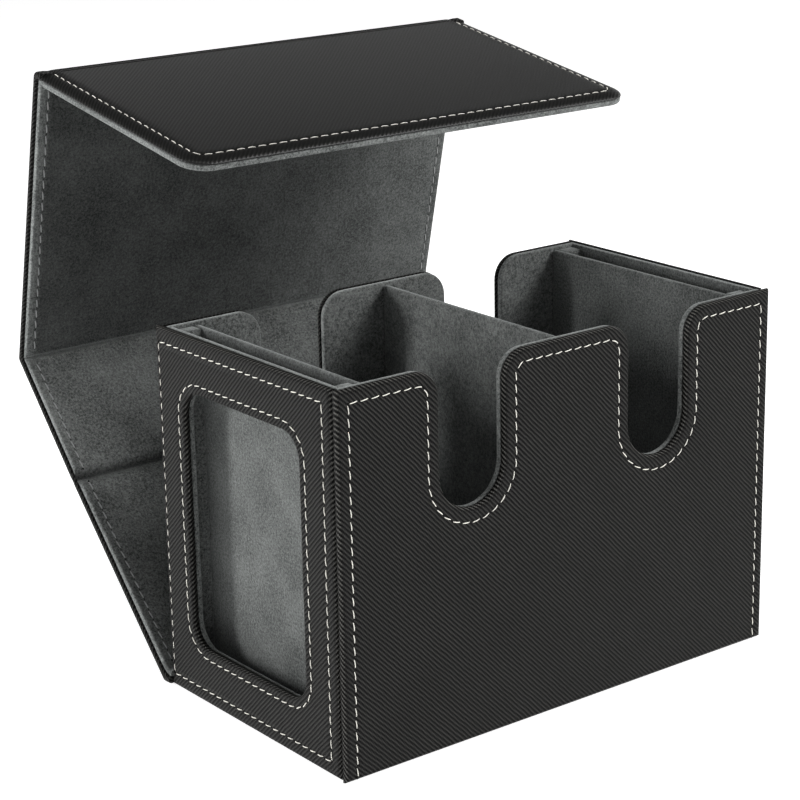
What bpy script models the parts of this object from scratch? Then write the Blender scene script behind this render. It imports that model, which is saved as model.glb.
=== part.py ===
"""Card deck box with a wrap-around magnetic cover, standing open.

Frame: metres, +Z up. The origin is the middle of the box's underside. X runs along the length of
the box, -Y is the front with the flap's side, and the cover is hinged at the foot of the back (+Y).
Every wall is a sandwich: leatherette outside, greyboard in the middle, suede lining inside.
The cover is a chain of four padded boards: lower back, upper back, top and flap.
"""
import math

import bmesh
import bpy
from mathutils import Matrix, Vector

# Box, outer sizes
BOX_LENGTH = 0.172
BOX_DEPTH = 0.0945
BOX_HEIGHT = 0.1196

# Layers of a box wall, from the outside in, with a hairline gap between them
GAP = 0.0003
WALL_LEATHER = 0.0009
WALL_BOARD = 0.0018
WALL_LINING = 0.0012
FLOOR_BOARD = 0.0020
BOARD_INSET = 0.0006

# Finger cut-outs in the front and back walls
CUTOUT_CENTRE_X = 0.0372
CUTOUT_HALF_WIDTH = 0.0120
CUTOUT_ARC_Z = 0.0866
CUTOUT_LIP_RADIUS = 0.0085

# Display window in each end wall
WINDOW_CENTRE_Y = 0.0025
WINDOW_HALF_WIDTH = 0.0300
WINDOW_LOW_Z = 0.0186
WINDOW_HIGH_Z = 0.1021
WINDOW_RADIUS = 0.0080

# Dividers, each a board in a folded suede sleeve
END_DIVIDER_CENTRE_X = 0.0735
DIVIDER_BOARD = 0.0010
DIVIDER_SUEDE = 0.0004
DIVIDER_TOP_Z = 0.1186
SPACER_DEPTH = 0.0048
SPACER_TOP_Z = 0.1184

# Magnets, one pair in the front wall and one pair in the flap
MAGNET_RADIUS = 0.0060
MAGNET_THICKNESS = 0.0012
MAGNET_X = 0.0600
MAGNET_FROM_FLAP_EDGE = 0.0160

# Cover, lengths from fold axis to fold axis
COVER_HALF_WIDTH = 0.0870
COVER_SKIN = 0.0009
COVER_BOARD = 0.0016
LOWER_BACK_LENGTH = 0.0741
UPPER_BACK_LENGTH = 0.0470
TOP_LENGTH = 0.1006
FLAP_LENGTH = 0.0920
FLAP_CORNER_RADIUS = 0.0085
HINGE_Y = 0.0502
HINGE_Z = 0.0020
CLOSED_TOP_CLEARANCE = 0.0015
HINGE_CLEARANCE = 0.0030
CREASE_CLEARANCE = 0.0016
FOLD_CLEARANCE = 0.0026
FOLD_STRIP_SWEEP_DEG = 120.0
FOLD_BEAD_RADIUS = 0.0029
BEAD_CLEARANCE = FOLD_BEAD_RADIUS + GAP

# Angles of the open cover: the lower back board's lean from flat, then each fold's bend
LOWER_BACK_LEAN_DEG = 46.2
CREASE_BEND_DEG = 2.0
TOP_FOLD_BEND_DEG = 54.9
FLAP_FOLD_BEND_DEG = 86.8

ARC_STEPS = 10
CIRCLE_STEPS = 28

# Sizes worked out from the ones above
HALF_LENGTH = BOX_LENGTH / 2
HALF_DEPTH = BOX_DEPTH / 2
BOARD_FROM_FACE = WALL_LEATHER + GAP
LINING_FROM_FACE = BOARD_FROM_FACE + WALL_BOARD + GAP
WALL = LINING_FROM_FACE + WALL_LINING
FLOOR_LINING_Z = BOARD_FROM_FACE + FLOOR_BOARD + GAP
FLOOR_Z = FLOOR_LINING_Z + COVER_SKIN
DIVIDER_HALF = DIVIDER_BOARD / 2 + GAP + DIVIDER_SUEDE
COVER_HALF = COVER_BOARD / 2 + GAP + COVER_SKIN
FLAP_MAGNET_REACH = FLAP_LENGTH - MAGNET_FROM_FLAP_EDGE
MAGNET_Z = BOX_HEIGHT + CLOSED_TOP_CLEARANCE + COVER_HALF - FLAP_MAGNET_REACH


def clear_scene():
    """Remove whatever the file holds, so that the script can be run again."""
    for item in list(bpy.data.objects):
        bpy.data.objects.remove(item, do_unlink=True)


def new_collection(name):
    collection = bpy.data.collections.new(name)
    bpy.context.scene.collection.children.link(collection)
    return collection


def make_material(name, colour, roughness, metallic=0.0):
    """A Principled BSDF with the finish of one of the object's materials."""
    result = bpy.data.materials.new(name)
    result.use_nodes = True
    shader = result.node_tree.nodes["Principled BSDF"]
    shader.inputs["Base Color"].default_value = (*colour, 1.0)
    shader.inputs["Roughness"].default_value = roughness
    shader.inputs["Metallic"].default_value = metallic
    result.diffuse_color = (*colour, 1.0)
    return result


def leather(name):
    return make_material(name + "_leather", (0.030, 0.030, 0.030), 0.55)


def suede(name):
    return make_material(name + "_suede", (0.070, 0.073, 0.073), 0.95)


def greyboard(name):
    return make_material(name + "_greyboard", (0.260, 0.240, 0.210), 0.90)


def magnet_metal(name):
    return make_material(name + "_nickel", (0.600, 0.600, 0.610), 0.30, 1.0)


def arc(centre, radius, start_deg, end_deg, steps=ARC_STEPS):
    """Points along an arc, both ends included."""
    points = []
    for step in range(steps + 1):
        angle = math.radians(start_deg + (end_deg - start_deg) * step / steps)
        points.append((centre[0] + radius * math.cos(angle), centre[1] + radius * math.sin(angle)))
    return points


def circle(centre, radius):
    return arc(centre, radius, 0.0, 360.0, CIRCLE_STEPS)[:-1]


def rectangle(low, high):
    return [(low[0], low[1]), (high[0], low[1]), (high[0], high[1]), (low[0], high[1])]


def rounded_rectangle(low, high, radius):
    """A rectangle whose four corners are arcs."""
    left, right = low[0] + radius, high[0] - radius
    bottom, top = low[1] + radius, high[1] - radius
    points = arc((right, bottom), radius, -90.0, 0.0)
    points += arc((right, top), radius, 0.0, 90.0)
    points += arc((left, top), radius, 90.0, 180.0)
    points += arc((left, bottom), radius, 180.0, 270.0)
    return points


def finish(item, collection, material, parent=None):
    """Put an object in its collection, under its fold axis, with its material."""
    item.data.materials.append(material)
    collection.objects.link(item)
    item.parent = parent
    return item


def add_block(name, low, high, collection, material, parent=None):
    """A box between two corners, with its origin at its own middle."""
    low, high = Vector(low), Vector(high)
    shape = bmesh.new()
    bmesh.ops.create_cube(shape, size=1.0, matrix=Matrix.Diagonal((*(high - low), 1.0)))
    mesh = bpy.data.meshes.new(name)
    shape.to_mesh(mesh)
    shape.free()
    item = bpy.data.objects.new(name, mesh)
    item.location = (low + high) / 2
    return finish(item, collection, material, parent)


def add_plate(name, loops, thickness, collection, material, location, rotation=(0, 0, 0), parent=None):
    """A flat plate: closed outlines, the first outside and the rest holes, given a thickness."""
    curve = bpy.data.curves.new(name, "CURVE")
    curve.dimensions = "2D"
    curve.fill_mode = "BOTH"
    curve.extrude = thickness / 2
    for loop in loops:
        spline = curve.splines.new("POLY")
        spline.points.add(len(loop) - 1)
        for point, place in zip(spline.points, loop):
            point.co = (place[0], place[1], 0.0, 1.0)
        spline.use_cyclic_u = True
    item = bpy.data.objects.new(name, curve)
    item.location = location
    item.rotation_euler = rotation
    return finish(item, collection, material, parent)


def add_disc(name, centre, collection, material, rotation=(0, 0, 0), parent=None):
    """A disc magnet, its flat faces square to its own Z."""
    shape = bmesh.new()
    bmesh.ops.create_cone(
        shape,
        cap_ends=True,
        segments=CIRCLE_STEPS,
        radius1=MAGNET_RADIUS,
        radius2=MAGNET_RADIUS,
        depth=MAGNET_THICKNESS,
    )
    mesh = bpy.data.meshes.new(name)
    shape.to_mesh(mesh)
    shape.free()
    mesh.shade_smooth()
    mesh.set_sharp_from_angle(angle=math.radians(40))
    item = bpy.data.objects.new(name, mesh)
    item.location = centre
    item.rotation_euler = rotation
    return finish(item, collection, material, parent)


def cutout_wall_outline(half_length, low_z, inset):
    """The front or back wall: a rectangle whose top edge dips into two U-shaped cut-outs."""
    high_z = BOX_HEIGHT - inset
    half_width = CUTOUT_HALF_WIDTH + inset
    lip = CUTOUT_LIP_RADIUS - inset
    points = [(-half_length, low_z), (half_length, low_z), (half_length, high_z)]
    for centre_x in (CUTOUT_CENTRE_X, -CUTOUT_CENTRE_X):
        lip_z = high_z - lip
        points += arc((centre_x + half_width + lip, lip_z), lip, 90.0, 180.0)
        points += arc((centre_x, CUTOUT_ARC_Z), half_width, 0.0, -180.0, 2 * ARC_STEPS)
        points += arc((centre_x - half_width - lip, lip_z), lip, 0.0, 90.0)
    points.append((-half_length, high_z))
    return points


def window_outline(inset):
    low = (WINDOW_CENTRE_Y - WINDOW_HALF_WIDTH - inset, WINDOW_LOW_Z - inset)
    high = (WINDOW_CENTRE_Y + WINDOW_HALF_WIDTH + inset, WINDOW_HIGH_Z + inset)
    return rounded_rectangle(low, high, WINDOW_RADIUS + inset)


def magnet_holes(height):
    """Round seats for a pair of magnets, at a height along the plate."""
    return [circle((side * MAGNET_X, height), MAGNET_RADIUS + GAP) for side in (-1, 1)]


def long_wall(side_name, side, collection):
    """The front (side -1) or back (side +1) wall: leather, board and lining."""
    upright = (math.radians(90), 0, 0)
    leather_y = side * (HALF_DEPTH - WALL_LEATHER / 2)
    board_y = side * (HALF_DEPTH - BOARD_FROM_FACE - WALL_BOARD / 2)
    lining_y = side * (HALF_DEPTH - LINING_FROM_FACE - WALL_LINING / 2)
    outer = [cutout_wall_outline(HALF_LENGTH, BOARD_FROM_FACE, 0.0)]
    core = [cutout_wall_outline(HALF_LENGTH - BOARD_FROM_FACE, BOARD_FROM_FACE, BOARD_INSET)]
    if side < 0:
        core += magnet_holes(MAGNET_Z)
    inner = [cutout_wall_outline(HALF_LENGTH - LINING_FROM_FACE, FLOOR_LINING_Z, 0.0)]
    name = side_name + "_wall"
    add_plate(name + "_leather", outer, WALL_LEATHER, collection, leather(name), (0, leather_y, 0), upright)
    add_plate(name + "_board", core, WALL_BOARD, collection, greyboard(name), (0, board_y, 0), upright)
    add_plate(name + "_lining", inner, WALL_LINING, collection, suede(name), (0, lining_y, 0), upright)


def end_wall(side_name, side, collection):
    """The left (side -1) or right (side +1) wall, with its display window."""
    upright = (math.radians(90), 0, math.radians(90))
    leather_x = side * (HALF_LENGTH - WALL_LEATHER / 2)
    board_x = side * (HALF_LENGTH - BOARD_FROM_FACE - WALL_BOARD / 2)
    lining_x = side * (HALF_LENGTH - LINING_FROM_FACE - WALL_LINING / 2)
    leather_y = HALF_DEPTH - BOARD_FROM_FACE
    board_y = HALF_DEPTH - LINING_FROM_FACE
    lining_y = HALF_DEPTH - WALL - GAP
    board_top = BOX_HEIGHT - BOARD_INSET
    outer = [rectangle((-leather_y, BOARD_FROM_FACE), (leather_y, BOX_HEIGHT)), window_outline(0.0)]
    core = [rectangle((-board_y, BOARD_FROM_FACE), (board_y, board_top)), window_outline(BOARD_INSET)]
    inner = [rectangle((-lining_y, FLOOR_LINING_Z), (lining_y, BOX_HEIGHT)), window_outline(0.0)]
    name = side_name + "_end"
    add_plate(name + "_leather", outer, WALL_LEATHER, collection, leather(name), (leather_x, 0, 0), upright)
    add_plate(name + "_board", core, WALL_BOARD, collection, greyboard(name), (board_x, 0, 0), upright)
    add_plate(name + "_lining", inner, WALL_LINING, collection, suede(name), (lining_x, 0, 0), upright)


def floor(collection):
    """The bottom of the box. Its leather is the sheet that the whole box stands on."""
    board_x, board_y = HALF_LENGTH - LINING_FROM_FACE, HALF_DEPTH - LINING_FROM_FACE
    lining_x, lining_y = HALF_LENGTH - WALL - GAP, HALF_DEPTH - WALL - GAP
    board_top = BOARD_FROM_FACE + FLOOR_BOARD
    add_block("floor_leather", (-HALF_LENGTH, -HALF_DEPTH, 0.0), (HALF_LENGTH, HALF_DEPTH, WALL_LEATHER),
              collection, leather("floor"))
    add_block("floor_board", (-board_x, -board_y, BOARD_FROM_FACE), (board_x, board_y, board_top),
              collection, greyboard("floor"))
    add_block("floor_lining", (-lining_x, -lining_y, FLOOR_LINING_Z), (lining_x, lining_y, FLOOR_Z),
              collection, suede("floor"))


def divider(name, centre_x, collection):
    """A board that stands across the box, with suede folded over its top edge and both faces."""
    upright = (math.radians(90), 0, 0)
    low_z = FLOOR_Z + GAP
    half_span = HALF_DEPTH - WALL - GAP
    bend_z = DIVIDER_TOP_Z - DIVIDER_HALF
    hollow = DIVIDER_HALF - DIVIDER_SUEDE
    sleeve = [(DIVIDER_HALF, low_z)]
    sleeve += arc((0.0, bend_z), DIVIDER_HALF, 0.0, 180.0)
    sleeve += [(-DIVIDER_HALF, low_z), (-hollow, low_z)]
    sleeve += arc((0.0, bend_z), hollow, 180.0, 0.0)
    sleeve.append((hollow, low_z))
    add_plate(name + "_suede", [sleeve], 2 * half_span, collection, suede(name), (centre_x, 0, 0), upright)
    half_board = DIVIDER_BOARD / 2
    add_block(name + "_board", (centre_x - half_board, -half_span, low_z),
              (centre_x + half_board, half_span, bend_z), collection, greyboard(name))


def pocket_spacers(side_name, side, collection):
    """The two suede strips that stand in the corners of a display pocket and centre its card."""
    outer_x = HALF_LENGTH - WALL - GAP
    inner_x = END_DIVIDER_CENTRE_X + DIVIDER_HALF + GAP
    low_x, high_x = sorted((side * inner_x, side * outer_x))
    far_y = HALF_DEPTH - WALL - GAP
    for end_name, end in (("front", -1), ("back", 1)):
        name = side_name + "_pocket_" + end_name + "_spacer"
        low_y, high_y = sorted((end * (far_y - SPACER_DEPTH), end * far_y))
        add_block(name, (low_x, low_y, FLOOR_Z + GAP), (high_x, high_y, SPACER_TOP_Z),
                  collection, suede(name))


def front_magnets(collection):
    """The two magnets that the closed flap's magnets meet."""
    facing = (math.radians(90), 0, 0)
    centre_y = -(HALF_DEPTH - BOARD_FROM_FACE - WALL_BOARD / 2)
    for side_name, side in (("left", -1), ("right", 1)):
        name = "front_magnet_" + side_name
        add_disc(name, (side * MAGNET_X, centre_y, MAGNET_Z), collection, magnet_metal(name), facing)


def fold_axis(name, collection, parent, location, bend_deg):
    """An empty on a fold's axis. Its +Y runs along the board beyond the fold, its +Z faces in."""
    empty = bpy.data.objects.new(name, None)
    empty.empty_display_size = 0.01
    empty.location = location
    empty.rotation_euler = (math.radians(bend_deg), 0, 0)
    empty.parent = parent
    collection.objects.link(empty)
    return empty


def cover_outline(start, end, inset, rounded):
    """A cover board's outline, square at both folds or rounded at the flap's free edge."""
    half = COVER_HALF_WIDTH - inset
    if not rounded:
        return rectangle((-half, start), (half, end))
    end -= inset
    radius = FLAP_CORNER_RADIUS - inset
    points = [(-half, start), (half, start)]
    points += arc((half - radius, end - radius), radius, 0.0, 90.0)
    points += arc((radius - half, end - radius), radius, 90.0, 180.0)
    return points


def cover_board(name, axis, start, end, collection, rounded=False):
    """One board of the cover: leather outside, greyboard, suede inside."""
    skin = [cover_outline(start, end, 0.0, rounded)]
    core = [cover_outline(start, end, BOARD_INSET, rounded)]
    if rounded:
        core += magnet_holes(FLAP_MAGNET_REACH)
    skin_z = COVER_HALF - COVER_SKIN / 2
    add_plate(name + "_leather", skin, COVER_SKIN, collection, leather(name), (0, 0, -skin_z), parent=axis)
    add_plate(name + "_board", core, COVER_BOARD, collection, greyboard(name), (0, 0, 0), parent=axis)
    add_plate(name + "_lining", skin, COVER_SKIN, collection, suede(name), (0, 0, skin_z), parent=axis)


def flap_magnets(axis, collection):
    for side_name, side in (("left", -1), ("right", 1)):
        name = "flap_magnet_" + side_name
        add_disc(name, (side * MAGNET_X, FLAP_MAGNET_REACH, 0), collection, magnet_metal(name), parent=axis)


def fold_strip(name, axis, facing_deg, collection):
    """The bare leather of a fold: part of a tube around the fold's axis, open on the inner side."""
    start = facing_deg - FOLD_STRIP_SWEEP_DEG / 2
    end = facing_deg + FOLD_STRIP_SWEEP_DEG / 2
    section = arc((0.0, 0.0), COVER_HALF, start, end)
    section += arc((0.0, 0.0), COVER_HALF - COVER_SKIN, end, start)
    sideways = (math.radians(90), 0, math.radians(90))
    add_plate(name, [section], 2 * COVER_HALF_WIDTH, collection, leather(name), (0, 0, 0), sideways, axis)


def fold_bead(name, axis, collection):
    """A fold that is solid right through: leather and suede rolled and glued into a soft bead."""
    section = circle((0.0, 0.0), FOLD_BEAD_RADIUS)
    sideways = (math.radians(90), 0, math.radians(90))
    add_plate(name, [section], 2 * COVER_HALF_WIDTH, collection, leather(name), (0, 0, 0), sideways, axis)


def crease_strip(axis, collection):
    """The flat leather that joins the two boards of the back."""
    reach = CREASE_CLEARANCE - GAP
    outline = [rectangle((-COVER_HALF_WIDTH, -reach), (COVER_HALF_WIDTH, reach))]
    height = COVER_HALF - COVER_SKIN / 2
    place = (0, LOWER_BACK_LENGTH, -height)
    add_plate("back_crease_strip", outline, COVER_SKIN, collection, leather("back_crease"), place, parent=axis)


def cover(collection):
    """The cover, each board on its own fold axis and all of them chained to the box."""
    lower = fold_axis("cover_hinge_axis", collection, None, (0, HINGE_Y, HINGE_Z), LOWER_BACK_LEAN_DEG)
    upper = fold_axis("back_crease_axis", collection, lower, (0, LOWER_BACK_LENGTH, 0), CREASE_BEND_DEG)
    spine = fold_axis("top_fold_axis", collection, upper, (0, UPPER_BACK_LENGTH, 0), TOP_FOLD_BEND_DEG / 2)
    top = fold_axis("top_axis", collection, spine, (0, 0, 0), TOP_FOLD_BEND_DEG / 2)
    flap = fold_axis("flap_fold_axis", collection, top, (0, TOP_LENGTH, 0), FLAP_FOLD_BEND_DEG)

    lower_end = LOWER_BACK_LENGTH - CREASE_CLEARANCE
    cover_board("lower_back", lower, HINGE_CLEARANCE, lower_end, collection)
    crease_strip(lower, collection)
    cover_board("upper_back", upper, CREASE_CLEARANCE, UPPER_BACK_LENGTH - BEAD_CLEARANCE, collection)
    cover_board("top", top, BEAD_CLEARANCE, TOP_LENGTH - FOLD_CLEARANCE, collection)
    cover_board("flap", flap, FOLD_CLEARANCE, FLAP_LENGTH, collection, rounded=True)
    flap_magnets(flap, collection)

    outward = -90.0
    fold_strip("cover_hinge_strip", lower, outward - LOWER_BACK_LEAN_DEG / 2, collection)
    fold_bead("top_fold_strip", spine, collection)
    fold_strip("flap_fold_strip", flap, outward - FLAP_FOLD_BEND_DEG / 2, collection)


def build():
    clear_scene()
    collection = new_collection("card_deck_box")
    long_wall("front", -1, collection)
    long_wall("back", 1, collection)
    end_wall("left", -1, collection)
    end_wall("right", 1, collection)
    floor(collection)
    divider("left_divider", -END_DIVIDER_CENTRE_X, collection)
    divider("middle_divider", 0.0, collection)
    divider("right_divider", END_DIVIDER_CENTRE_X, collection)
    pocket_spacers("left", -1, collection)
    pocket_spacers("right", 1, collection)
    front_magnets(collection)
    cover(collection)


build()
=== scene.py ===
"""Looks of the card deck box: embossed leatherette, suede linings, stitching, light and camera."""

import math

import bmesh
import bpy
from mathutils import Matrix, Vector
from mathutils.geometry import tessellate_polygon


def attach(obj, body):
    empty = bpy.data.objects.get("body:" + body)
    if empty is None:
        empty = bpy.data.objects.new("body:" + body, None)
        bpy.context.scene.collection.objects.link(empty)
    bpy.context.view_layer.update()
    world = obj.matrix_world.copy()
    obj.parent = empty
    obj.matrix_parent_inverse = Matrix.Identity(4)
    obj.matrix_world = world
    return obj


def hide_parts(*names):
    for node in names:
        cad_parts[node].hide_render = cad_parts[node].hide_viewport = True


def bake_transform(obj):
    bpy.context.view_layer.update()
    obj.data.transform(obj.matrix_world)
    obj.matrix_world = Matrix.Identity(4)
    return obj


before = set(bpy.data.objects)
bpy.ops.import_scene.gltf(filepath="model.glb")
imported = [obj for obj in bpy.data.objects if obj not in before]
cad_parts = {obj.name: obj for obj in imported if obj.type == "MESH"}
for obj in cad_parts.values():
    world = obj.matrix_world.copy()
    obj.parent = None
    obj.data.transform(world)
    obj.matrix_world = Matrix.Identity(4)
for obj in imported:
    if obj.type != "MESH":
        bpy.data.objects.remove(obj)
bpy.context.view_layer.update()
MM = 0.001

# ---------------------------------------------------------------- sizes, in millimetres
# Box
HALF_X = 86.0
HALF_Y = 47.25
HEIGHT = 119.6
WALL = 4.5
LEATHER = 2.2
SUEDE_FROM = 2.36
CUT_X = 37.2
CUT_HALF = 12.0
CUT_ARC_Z = 86.6
CUT_LIP = 8.5
FLOOR_TOP = 4.4
DIVIDER_X = 73.5
DIVIDER_HALF = 1.2
DIVIDER_DROP = 1.0
PAD_DROP = 1.2
# Window in the end panels: back, low, front and high edges of its outline, then its corner
WINDOW = (-27.5, 18.6, 32.5, 102.1)
WINDOW_R = 8.0
# Cover: half width, half thickness, leather, and its panels from the hinge to the flap
COVER_X = 87.0
COVER_HALF = 2.0
SKIN = 1.35
FLAP_R = 8.5
LENGTHS = (74.1, 47.0, 100.6, 92.0)
ANGLES = (46.2, 48.2, 103.1, 189.9)
HINGE = (50.2, 2.0)
# Stitches: spacing, share of it that is thread, and distance in from the edge
STITCH_PITCH = 3.85
STITCH_SHARE = 0.80
STITCH_IN = 4.6
COVER_STITCH_IN = 4.65
SEAM_DIP = 0.26
# Materials and light
RIB_PITCH = 1.12
SUEDE_SHEEN = 0.35
WORLD_TOP = 0.02
FLOOR_GLOW = 0.75
LEFT_POWER = 17
RIGHT_POWER = 31
TOP_POWER = 4


# ---------------------------------------------------------------- outlines
def arc(cx, cy, radius, start, end, steps=10):
    """Points along an arc between two angles in degrees, both ends included."""
    points = []
    for k in range(steps + 1):
        a = math.radians(start + (end - start) * k / steps)
        points.append((cx + radius * math.cos(a), cy + radius * math.sin(a)))
    return points


def rect(x0, y0, x1, y1):
    return [(x0, y0), (x1, y0), (x1, y1), (x0, y1)]


def round_rect(x0, y0, x1, y1, radius, steps=10):
    points = arc(x1 - radius, y0 + radius, radius, -90, 0, steps)
    points += arc(x1 - radius, y1 - radius, radius, 0, 90, steps)
    points += arc(x0 + radius, y1 - radius, radius, 90, 180, steps)
    points += arc(x0 + radius, y0 + radius, radius, 180, 270, steps)
    return points


def cut_wall(half, low, inset, steps=12):
    """The long wall's outline with its two U-shaped finger cut-outs, counter-clockwise."""
    high = HEIGHT - inset + 0.17 * max(0.0, inset - 1.8)
    width = CUT_HALF + inset
    lip = CUT_LIP - inset
    points = [(-half, low), (half, low), (half, high)]
    for cx in (CUT_X, -CUT_X):
        points += arc(cx + width + lip, high - lip, lip, 90, 180, steps)
        points += arc(cx, CUT_ARC_Z, width, 0, -180, 2 * steps)
        points += arc(cx - width - lip, high - lip, lip, 0, 90, steps)
    points.append((-half, high))
    return points


def cover_outline(start, end, inset, rounded):
    half = COVER_X - inset
    if not rounded:
        return rect(-half, start, half, end)
    radius = FLAP_R - inset
    top = end - inset
    points = [(-half, start), (half, start)]
    points += arc(half - radius, top - radius, radius, 0, 90)
    points += arc(radius - half, top - radius, radius, 90, 180)
    return points


# ---------------------------------------------------------------- mesh building
class Place:
    """A flat frame: (u, v) in the panel, depth going into it. All in millimetres."""

    def __init__(self, origin, u, v, n):
        self.origin = Vector(origin)
        self.u = Vector(u)
        self.v = Vector(v)
        self.n = Vector(n)

    def at(self, u, v, d):
        return (self.origin + self.u * u + self.v * v + self.n * d) * MM


class Builder:
    """Collects vertices and faces with cloth coordinates, then makes one mesh object."""

    def __init__(self):
        self.verts = []
        self.faces = []
        self.uvs = []
        self.mats = []
        # Painted light per vertex, stored as the edge attribute: above 0 a painted highlight, below 0
        # painted shade.
        self.painted_light = []

    def add(self, point, painted_light=0.0):
        self.verts.append(point)
        self.painted_light.append(painted_light)
        return len(self.verts) - 1

    def face(self, ids, uvs, mat=0):
        self.faces.append(tuple(ids))
        self.uvs.append([tuple(uv) for uv in uvs])
        self.mats.append(mat)

    def build(self, name, materials, smooth=True):
        mesh = bpy.data.meshes.new(name)
        mesh.from_pydata([tuple(v) for v in self.verts], [], self.faces)
        layer = mesh.uv_layers.new(name="cloth")
        for poly, uvs in zip(mesh.polygons, self.uvs):
            for loop, uv in zip(poly.loop_indices, uvs):
                layer.data[loop].uv = uv
        mesh.attributes.new("edge", "FLOAT", "POINT").data.foreach_set("value", self.painted_light)
        for poly, mat in zip(mesh.polygons, self.mats):
            poly.material_index = mat
        for material in materials:
            mesh.materials.append(material)
        work = bmesh.new()
        work.from_mesh(mesh)
        bmesh.ops.recalc_face_normals(work, faces=work.faces)
        work.to_mesh(mesh)
        work.free()
        if smooth:
            mesh.shade_smooth()
            mesh.set_sharp_from_angle(angle=math.radians(42))
        obj = bpy.data.objects.new(name, mesh)
        bpy.context.scene.collection.objects.link(obj)
        return obj


def cap(builder, rings):
    """Fills one outline, less its holes, with triangles."""
    loops = [[Vector((x, y, 0.0)) for x, y in ring["flat"]] for ring in rings]
    ids = [i for ring in rings for i in ring["ids"]]
    uvs = [uv for ring in rings for uv in ring["uv"]]
    for tri in tessellate_polygon(loops):
        a, b, c = (loops_point(loops, k) for k in tri)
        if abs((b - a).cross(c - a).z) < 1e-9:
            continue
        builder.face([ids[k] for k in tri], [uvs[k] for k in tri])


def loops_point(loops, index):
    for loop in loops:
        if index < len(loop):
            return loop[index]
        index -= len(loop)
    raise IndexError(index)


def plate(name, place, outline, profile, materials, holes=()):
    """A closed padded plate. outline(inset) gives its edge moved in by inset; profile lists
    (inset, depth, inset in the unrolled cloth) from the middle of the face round to the back.
    Each hole is (outline, profile) with the same meaning, its inset growing away from the hole."""
    builder = Builder()
    ends = []
    for shape, steps in [(outline, profile)] + list(holes):
        rings = []
        for inset, depth, cloth in steps:
            flat = shape(inset)
            spread = shape(cloth)
            # Rings on a rolled edge get painted light 1: a painted highlight on leather rib tops and on
            # suede rims.
            painted_light = 1.0 if 0.0 < inset < 1.3 and 0.1 < abs(cloth - inset) and not 1.3 < depth < 2.3 else 0.0
            ids = [builder.add(place.at(x, y, depth), painted_light) for x, y in flat]
            uv = [(x * MM, y * MM) for x, y in spread]
            rings.append({"flat": flat, "ids": ids, "uv": uv})
        for a, b in zip(rings, rings[1:]):
            count = len(a["ids"])
            for k in range(count):
                m = (k + 1) % count
                corners = [(a, k), (a, m), (b, m), (b, k)]
                builder.face([r["ids"][j] for r, j in corners], [r["uv"][j] for r, j in corners])
        ends.append((rings[0], rings[-1]))
    for which in (0, 1):
        cap(builder, [pair[which] for pair in ends])
    return builder.build(name, materials)


def roll(radius, steps=6, start=0.0):
    """(inset, depth, unrolled inset) round an edge, from flat on the face to flat on the side."""
    out = []
    for k in range(steps + 1):
        a = math.pi / 2 * k / steps
        inset = radius * (1 - math.sin(a))
        out.append((start + inset, radius * (1 - math.cos(a)), start + radius - radius * a))
    return out


def seam_profile(seam, far, dip=SEAM_DIP):
    """The face either side of a line of stitches, from the field out to the padded edge band."""
    steps = [(far, 0.0), (seam + 1.7, 0.02), (seam + 0.9, 0.10), (seam + 0.35, dip * 0.8)]
    steps += [(seam, dip), (seam - 0.35, dip * 0.8), (seam - 0.9, 0.09), (seam - 1.7, 0.0)]
    return [(i, d, i) for i, d in steps]


def leather_profile(seam, far, radius, depth, dip=SEAM_DIP):
    """Field, seam, padded band, rolled edge and turned-in end of a leather skin."""
    steps = seam_profile(seam, far, dip) if seam else [(far, 0.0, far), (radius + 0.5, 0.0, radius + 0.5)]
    steps += roll(radius)
    last = steps[-1][2]
    steps.append((0.0, depth - 0.4, last - (depth - 0.4 - radius)))
    steps.append((0.14, depth - 0.13, last - (depth - radius)))
    steps.append((0.5, depth, last - (depth - radius) - 0.4))
    steps.append((1.3, depth, last - (depth - radius) - 1.2))
    return steps


def lining_profile(face, back, radius, edge, far, seam=None):
    """A suede layer whose face is at depth `face` and whose hidden side is at depth `back`."""
    side = 1 if face > back else -1
    steps = [(far, face, far)]
    if seam:
        for off, dip in ((1.2, 0.02), (0.5, 0.12), (0.0, 0.2), (-0.5, 0.12), (-1.2, 0.02)):
            steps.append((seam + off, face - side * dip, seam + off))
    for inset, depth, cloth in roll(radius, 5, edge):
        steps.append((inset, face - side * depth, cloth))
    steps.append((edge, back + side * 0.5, -abs(face - back)))
    steps.append((edge + 0.15, back + side * 0.15, -abs(face - back) - 0.3))
    steps.append((edge + 0.5, back, -abs(face - back) - 0.6))
    steps.append((edge + 1.4, back, -abs(face - back) - 1.5))
    return steps


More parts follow.
